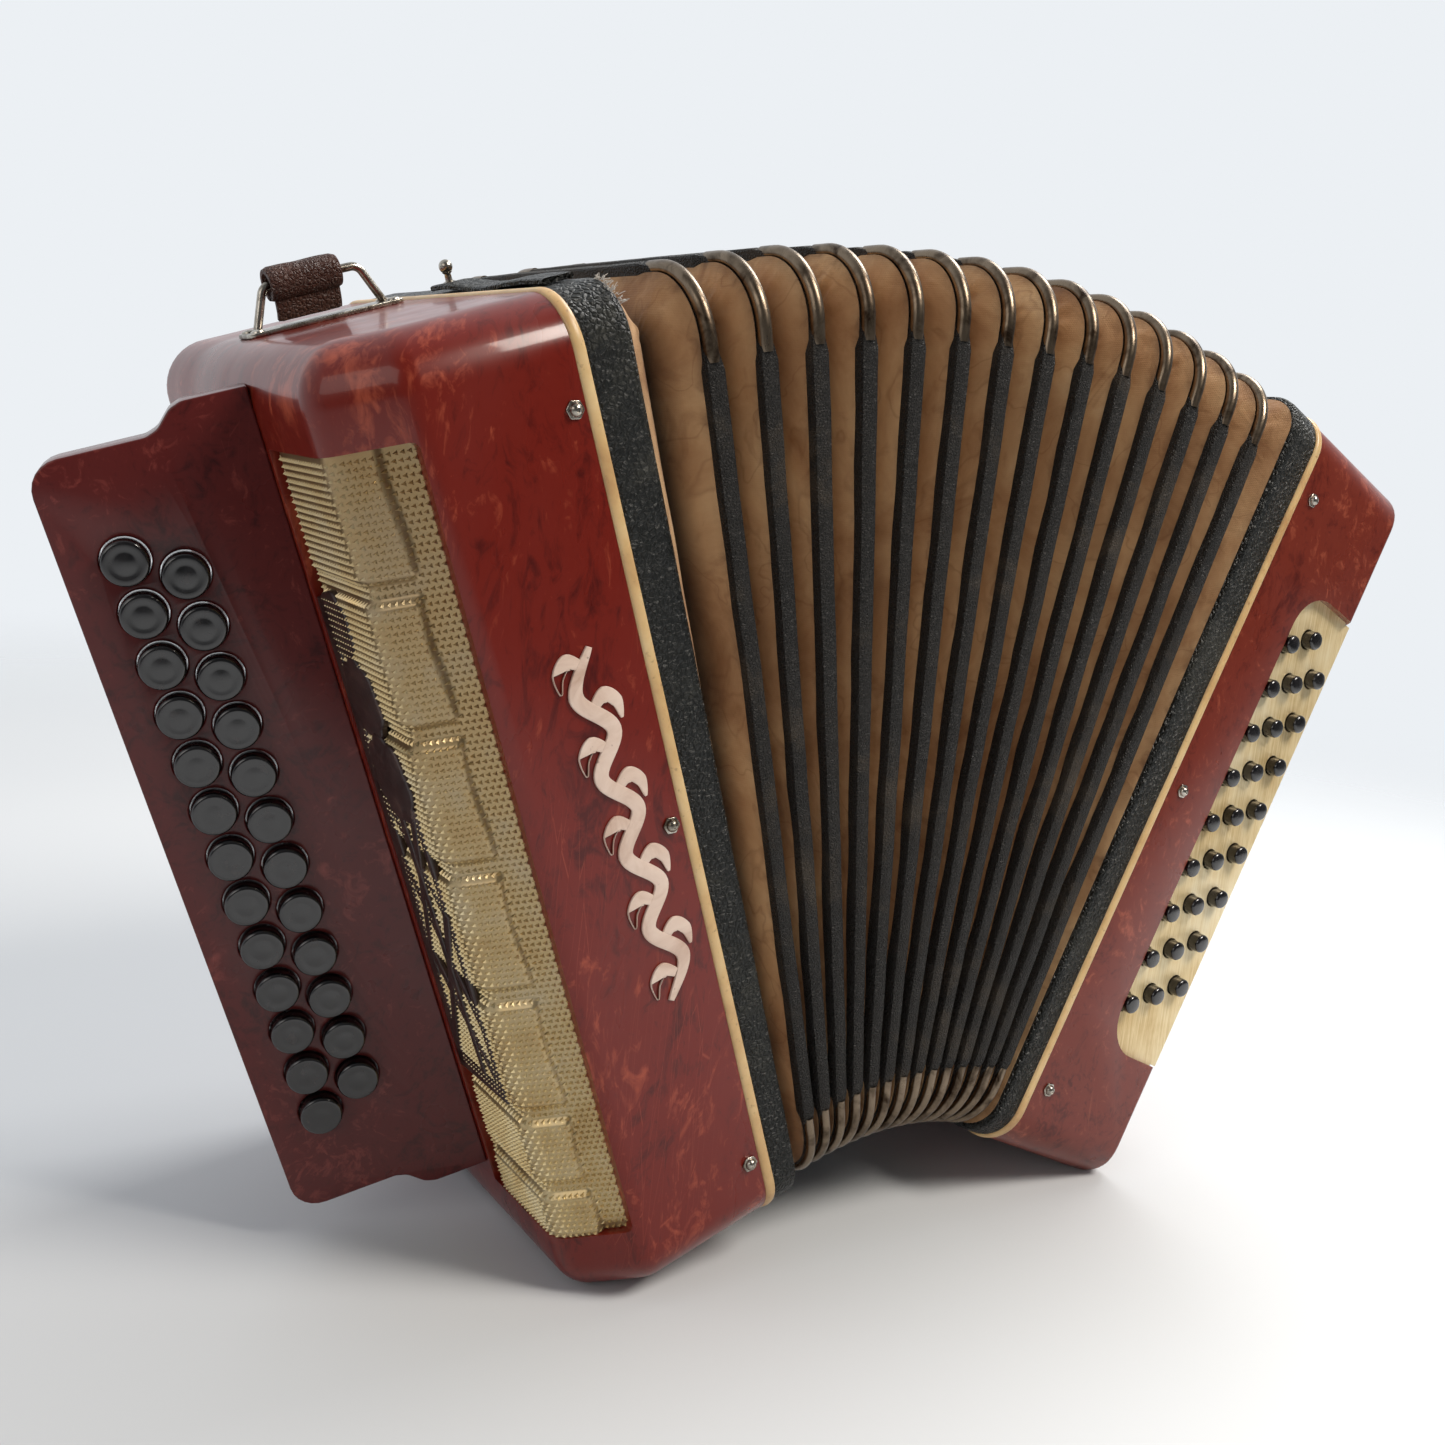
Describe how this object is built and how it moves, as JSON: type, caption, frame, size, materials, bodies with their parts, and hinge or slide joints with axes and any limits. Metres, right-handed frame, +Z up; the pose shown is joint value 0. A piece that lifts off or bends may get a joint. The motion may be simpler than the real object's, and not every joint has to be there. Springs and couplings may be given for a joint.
{
  "type": "button accordion",
  "caption": "Two-row diatonic button accordion of the garmon kind: red pearloid cases, fanned folding bellows, angled fingerboard with sprung buttons, bass button plate.",
  "frame": {"origin": "The middle of the footprint, on the floor. The bellows is fanned open and both cases stand on their lower outer edges.", "axes": "+Z up. +X from the treble case to the bass case. +Y to the back, away from the buttons. The source is in millimetres, the stored model in metres."},
  "size_m": [0.5643, 0.197, 0.3779],
  "materials": {
    "red_celluloid": "glossy pearloid celluloid veneer, burgundy with paler marbling",
    "board_celluloid": "glossy pearloid celluloid veneer, red with purple shades",
    "cream_celluloid": "aged cream bead, satin",
    "black_leatherette": "pebbled black leathercloth, worn at the corners",
    "gold_mesh": "embossed gold-lacquered sheet",
    "dark_plastic": "dark brown moulded plastic",
    "spruce": "bare planed softwood",
    "nickel": "worn nickel plate",
    "brown_leather": "worn brown strap leather",
    "black_plastic": "polished black buttons",
    "bellows_card": "tan bellows cloth on card, black cloth tape on the fold edges",
    "cream_metal": "cream lacquered plate, brushed"
  },
  "bodies": {
    "treble": {"treble_case": "red_celluloid", "treble_piping": "cream_celluloid", "treble_frame": "black_leatherette", "treble_grille": "gold_mesh", "grille_ornament": "dark_plastic", "treble_reed_pan": "spruce", "fingerboard": "board_celluloid", "strap_bracket": "nickel", "strap_loop": "brown_leather", "treble_bolts": "nickel"},
    "treble_key_01": {"treble_button_01": "black_plastic"},
    "treble_key_02": {"treble_button_02": "black_plastic"},
    "treble_key_03": {"treble_button_03": "black_plastic"},
    "treble_key_04": {"treble_button_04": "black_plastic"},
    "treble_key_05": {"treble_button_05": "black_plastic"},
    "treble_key_06": {"treble_button_06": "black_plastic"},
    "treble_key_07": {"treble_button_07": "black_plastic"},
    "treble_key_08": {"treble_button_08": "black_plastic"},
    "treble_key_09": {"treble_button_09": "black_plastic"},
    "treble_key_10": {"treble_button_10": "black_plastic"},
    "treble_key_11": {"treble_button_11": "black_plastic"},
    "treble_key_12": {"treble_button_12": "black_plastic"},
    "treble_key_13": {"treble_button_13": "black_plastic"},
    "treble_key_14": {"treble_button_14": "black_plastic"},
    "treble_key_15": {"treble_button_15": "black_plastic"},
    "treble_key_16": {"treble_button_16": "black_plastic"},
    "treble_key_17": {"treble_button_17": "black_plastic"},
    "treble_key_18": {"treble_button_18": "black_plastic"},
    "treble_key_19": {"treble_button_19": "black_plastic"},
    "treble_key_20": {"treble_button_20": "black_plastic"},
    "treble_key_21": {"treble_button_21": "black_plastic"},
    "treble_key_22": {"treble_button_22": "black_plastic"},
    "treble_key_23": {"treble_button_23": "black_plastic"},
    "treble_key_24": {"treble_button_24": "black_plastic"},
    "treble_key_25": {"treble_button_25": "black_plastic"},
    "fold_01": {"bellows_fold_01": "bellows_card"},
    "fold_02": {"bellows_fold_02": "bellows_card"},
    "fold_03": {"bellows_fold_03": "bellows_card"},
    "fold_04": {"bellows_fold_04": "bellows_card"},
    "fold_05": {"bellows_fold_05": "bellows_card"},
    "fold_06": {"bellows_fold_06": "bellows_card"},
    "fold_07": {"bellows_fold_07": "bellows_card"},
    "fold_08": {"bellows_fold_08": "bellows_card"},
    "fold_09": {"bellows_fold_09": "bellows_card"},
    "fold_10": {"bellows_fold_10": "bellows_card"},
    "fold_11": {"bellows_fold_11": "bellows_card"},
    "fold_12": {"bellows_fold_12": "bellows_card"},
    "fold_13": {"bellows_fold_13": "bellows_card"},
    "fold_14": {"bellows_fold_14": "bellows_card"},
    "bass": {"bass_frame": "black_leatherette", "bass_piping": "cream_celluloid", "bass_case": "red_celluloid", "bass_button_plate": "cream_metal", "bass_bolts": "nickel", "bass_reed_pan": "spruce", "hand_strap": "brown_leather"},
    "bass_keys_front": {"bass_buttons_front": "black_plastic"},
    "bass_keys_middle": {"bass_buttons_middle": "black_plastic"},
    "bass_keys_rear": {"bass_buttons_rear": "black_plastic"}
  },
  "joints": [
    {"name": "treble_key_01_press", "type": "slide", "parent": "treble", "child": "treble_key_01", "axis": [0.2427, 0.9659, 0.0898], "range_m": [0, 0.0035], "stiffness_N_per_m": 150},
    {"name": "treble_key_02_press", "type": "slide", "parent": "treble", "child": "treble_key_02", "axis": [0.2427, 0.9659, 0.0898], "range_m": [0, 0.0035], "stiffness_N_per_m": 150},
    {"name": "treble_key_03_press", "type": "slide", "parent": "treble", "child": "treble_key_03", "axis": [0.2427, 0.9659, 0.0898], "range_m": [0, 0.0035], "stiffness_N_per_m": 150},
    {"name": "treble_key_04_press", "type": "slide", "parent": "treble", "child": "treble_key_04", "axis": [0.2427, 0.9659, 0.0898], "range_m": [0, 0.0035], "stiffness_N_per_m": 150},
    {"name": "treble_key_05_press", "type": "slide", "parent": "treble", "child": "treble_key_05", "axis": [0.2427, 0.9659, 0.0898], "range_m": [0, 0.0035], "stiffness_N_per_m": 150},
    {"name": "treble_key_06_press", "type": "slide", "parent": "treble", "child": "treble_key_06", "axis": [0.2427, 0.9659, 0.0898], "range_m": [0, 0.0035], "stiffness_N_per_m": 150},
    {"name": "treble_key_07_press", "type": "slide", "parent": "treble", "child": "treble_key_07", "axis": [0.2427, 0.9659, 0.0898], "range_m": [0, 0.0035], "stiffness_N_per_m": 150},
    {"name": "treble_key_08_press", "type": "slide", "parent": "treble", "child": "treble_key_08", "axis": [0.2427, 0.9659, 0.0898], "range_m": [0, 0.0035], "stiffness_N_per_m": 150},
    {"name": "treble_key_09_press", "type": "slide", "parent": "treble", "child": "treble_key_09", "axis": [0.2427, 0.9659, 0.0898], "range_m": [0, 0.0035], "stiffness_N_per_m": 150},
    {"name": "treble_key_10_press", "type": "slide", "parent": "treble", "child": "treble_key_10", "axis": [0.2427, 0.9659, 0.0898], "range_m": [0, 0.0035], "stiffness_N_per_m": 150},
    {"name": "treble_key_11_press", "type": "slide", "parent": "treble", "child": "treble_key_11", "axis": [0.2427, 0.9659, 0.0898], "range_m": [0, 0.0035], "stiffness_N_per_m": 150},
    {"name": "treble_key_12_press", "type": "slide", "parent": "treble", "child": "treble_key_12", "axis": [0.2427, 0.9659, 0.0898], "range_m": [0, 0.0035], "stiffness_N_per_m": 150},
    {"name": "treble_key_13_press", "type": "slide", "parent": "treble", "child": "treble_key_13", "axis": [0.2427, 0.9659, 0.0898], "range_m": [0, 0.0035], "stiffness_N_per_m": 150},
    {"name": "treble_key_14_press", "type": "slide", "parent": "treble", "child": "treble_key_14", "axis": [0.2427, 0.9659, 0.0898], "range_m": [0, 0.0035], "stiffness_N_per_m": 150},
    {"name": "treble_key_15_press", "type": "slide", "parent": "treble", "child": "treble_key_15", "axis": [0.2427, 0.9659, 0.0898], "range_m": [0, 0.0035], "stiffness_N_per_m": 150},
    {"name": "treble_key_16_press", "type": "slide", "parent": "treble", "child": "treble_key_16", "axis": [0.2427, 0.9659, 0.0898], "range_m": [0, 0.0035], "stiffness_N_per_m": 150},
    {"name": "treble_key_17_press", "type": "slide", "parent": "treble", "child": "treble_key_17", "axis": [0.2427, 0.9659, 0.0898], "range_m": [0, 0.0035], "stiffness_N_per_m": 150},
    {"name": "treble_key_18_press", "type": "slide", "parent": "treble", "child": "treble_key_18", "axis": [0.2427, 0.9659, 0.0898], "range_m": [0, 0.0035], "stiffness_N_per_m": 150},
    {"name": "treble_key_19_press", "type": "slide", "parent": "treble", "child": "treble_key_19", "axis": [0.2427, 0.9659, 0.0898], "range_m": [0, 0.0035], "stiffness_N_per_m": 150},
    {"name": "treble_key_20_press", "type": "slide", "parent": "treble", "child": "treble_key_20", "axis": [0.2427, 0.9659, 0.0898], "range_m": [0, 0.0035], "stiffness_N_per_m": 150},
    {"name": "treble_key_21_press", "type": "slide", "parent": "treble", "child": "treble_key_21", "axis": [0.2427, 0.9659, 0.0898], "range_m": [0, 0.0035], "stiffness_N_per_m": 150},
    {"name": "treble_key_22_press", "type": "slide", "parent": "treble", "child": "treble_key_22", "axis": [0.2427, 0.9659, 0.0898], "range_m": [0, 0.0035], "stiffness_N_per_m": 150},
    {"name": "treble_key_23_press", "type": "slide", "parent": "treble", "child": "treble_key_23", "axis": [0.2427, 0.9659, 0.0898], "range_m": [0, 0.0035], "stiffness_N_per_m": 150},
    {"name": "treble_key_24_press", "type": "slide", "parent": "treble", "child": "treble_key_24", "axis": [0.2427, 0.9659, 0.0898], "range_m": [0, 0.0035], "stiffness_N_per_m": 150},
    {"name": "treble_key_25_press", "type": "slide", "parent": "treble", "child": "treble_key_25", "axis": [0.2427, 0.9659, 0.0898], "range_m": [0, 0.0035], "stiffness_N_per_m": 150},
    {"name": "bellows_hinge_01", "type": "hinge", "parent": "treble", "child": "fold_01", "pos_m": [-0.02978, 0, 0.05175], "axis": [0, 1, 0], "range_deg": [-3.56, 1.69]},
    {"name": "bellows_hinge_02", "type": "hinge", "parent": "fold_01", "child": "fold_02", "pos_m": [-0.02205, 0, 0.05472], "axis": [0, 1, 0], "range_deg": [-2.75, 1.31]},
    {"name": "bellows_hinge_03", "type": "hinge", "parent": "fold_02", "child": "fold_03", "pos_m": [-0.01517, 0, 0.05696], "axis": [0, 1, 0], "range_deg": [-2.75, 1.31]},
    {"name": "bellows_hinge_04", "type": "hinge", "parent": "fold_03", "child": "fold_04", "pos_m": [-0.00816, 0, 0.05887], "axis": [0, 1, 0], "range_deg": [-2.75, 1.31]},
    {"name": "bellows_hinge_05", "type": "hinge", "parent": "fold_04", "child": "fold_05", "pos_m": [-0.00104, 0, 0.06045], "axis": [0, 1, 0], "range_deg": [-2.75, 1.31]},
    {"name": "bellows_hinge_06", "type": "hinge", "parent": "fold_05", "child": "fold_06", "pos_m": [0.00619, 0, 0.06169], "axis": [0, 1, 0], "range_deg": [-2.75, 1.31]},
    {"name": "bellows_hinge_07", "type": "hinge", "parent": "fold_06", "child": "fold_07", "pos_m": [0.01349, 0, 0.06259], "axis": [0, 1, 0], "range_deg": [-2.75, 1.31]},
    {"name": "bellows_hinge_08", "type": "hinge", "parent": "fold_07", "child": "fold_08", "pos_m": [0.02086, 0, 0.06313], "axis": [0, 1, 0], "range_deg": [-2.75, 1.31]},
    {"name": "bellows_hinge_09", "type": "hinge", "parent": "fold_08", "child": "fold_09", "pos_m": [0.02828, 0, 0.06332], "axis": [0, 1, 0], "range_deg": [-2.75, 1.31]},
    {"name": "bellows_hinge_10", "type": "hinge", "parent": "fold_09", "child": "fold_10", "pos_m": [0.03574, 0, 0.06315], "axis": [0, 1, 0], "range_deg": [-2.75, 1.31]},
    {"name": "bellows_hinge_11", "type": "hinge", "parent": "fold_10", "child": "fold_11", "pos_m": [0.0432, 0, 0.06262], "axis": [0, 1, 0], "range_deg": [-2.75, 1.31]},
    {"name": "bellows_hinge_12", "type": "hinge", "parent": "fold_11", "child": "fold_12", "pos_m": [0.05067, 0, 0.06173], "axis": [0, 1, 0], "range_deg": [-2.75, 1.31]},
    {"name": "bellows_hinge_13", "type": "hinge", "parent": "fold_12", "child": "fold_13", "pos_m": [0.05811, 0, 0.06047], "axis": [0, 1, 0], "range_deg": [-2.75, 1.31]},
    {"name": "bellows_hinge_14", "type": "hinge", "parent": "fold_13", "child": "fold_14", "pos_m": [0.06551, 0, 0.05885], "axis": [0, 1, 0], "range_deg": [-2.75, 1.31]},
    {"name": "bellows_hinge_15", "type": "hinge", "parent": "fold_14", "child": "bass", "pos_m": [0.07249, 0, 0.05698], "axis": [0, 1, 0], "range_deg": [-2.48, 1.18]},
    {"name": "bass_keys_front_press", "type": "slide", "parent": "bass", "child": "bass_keys_front", "axis": [0, 1, 0], "range_m": [0, 0.003], "stiffness_N_per_m": 200},
    {"name": "bass_keys_middle_press", "type": "slide", "parent": "bass", "child": "bass_keys_middle", "axis": [0, 1, 0], "range_m": [0, 0.003], "stiffness_N_per_m": 200},
    {"name": "bass_keys_rear_press", "type": "slide", "parent": "bass", "child": "bass_keys_rear", "axis": [0, 1, 0], "range_m": [0, 0.003], "stiffness_N_per_m": 200}
  ]
}
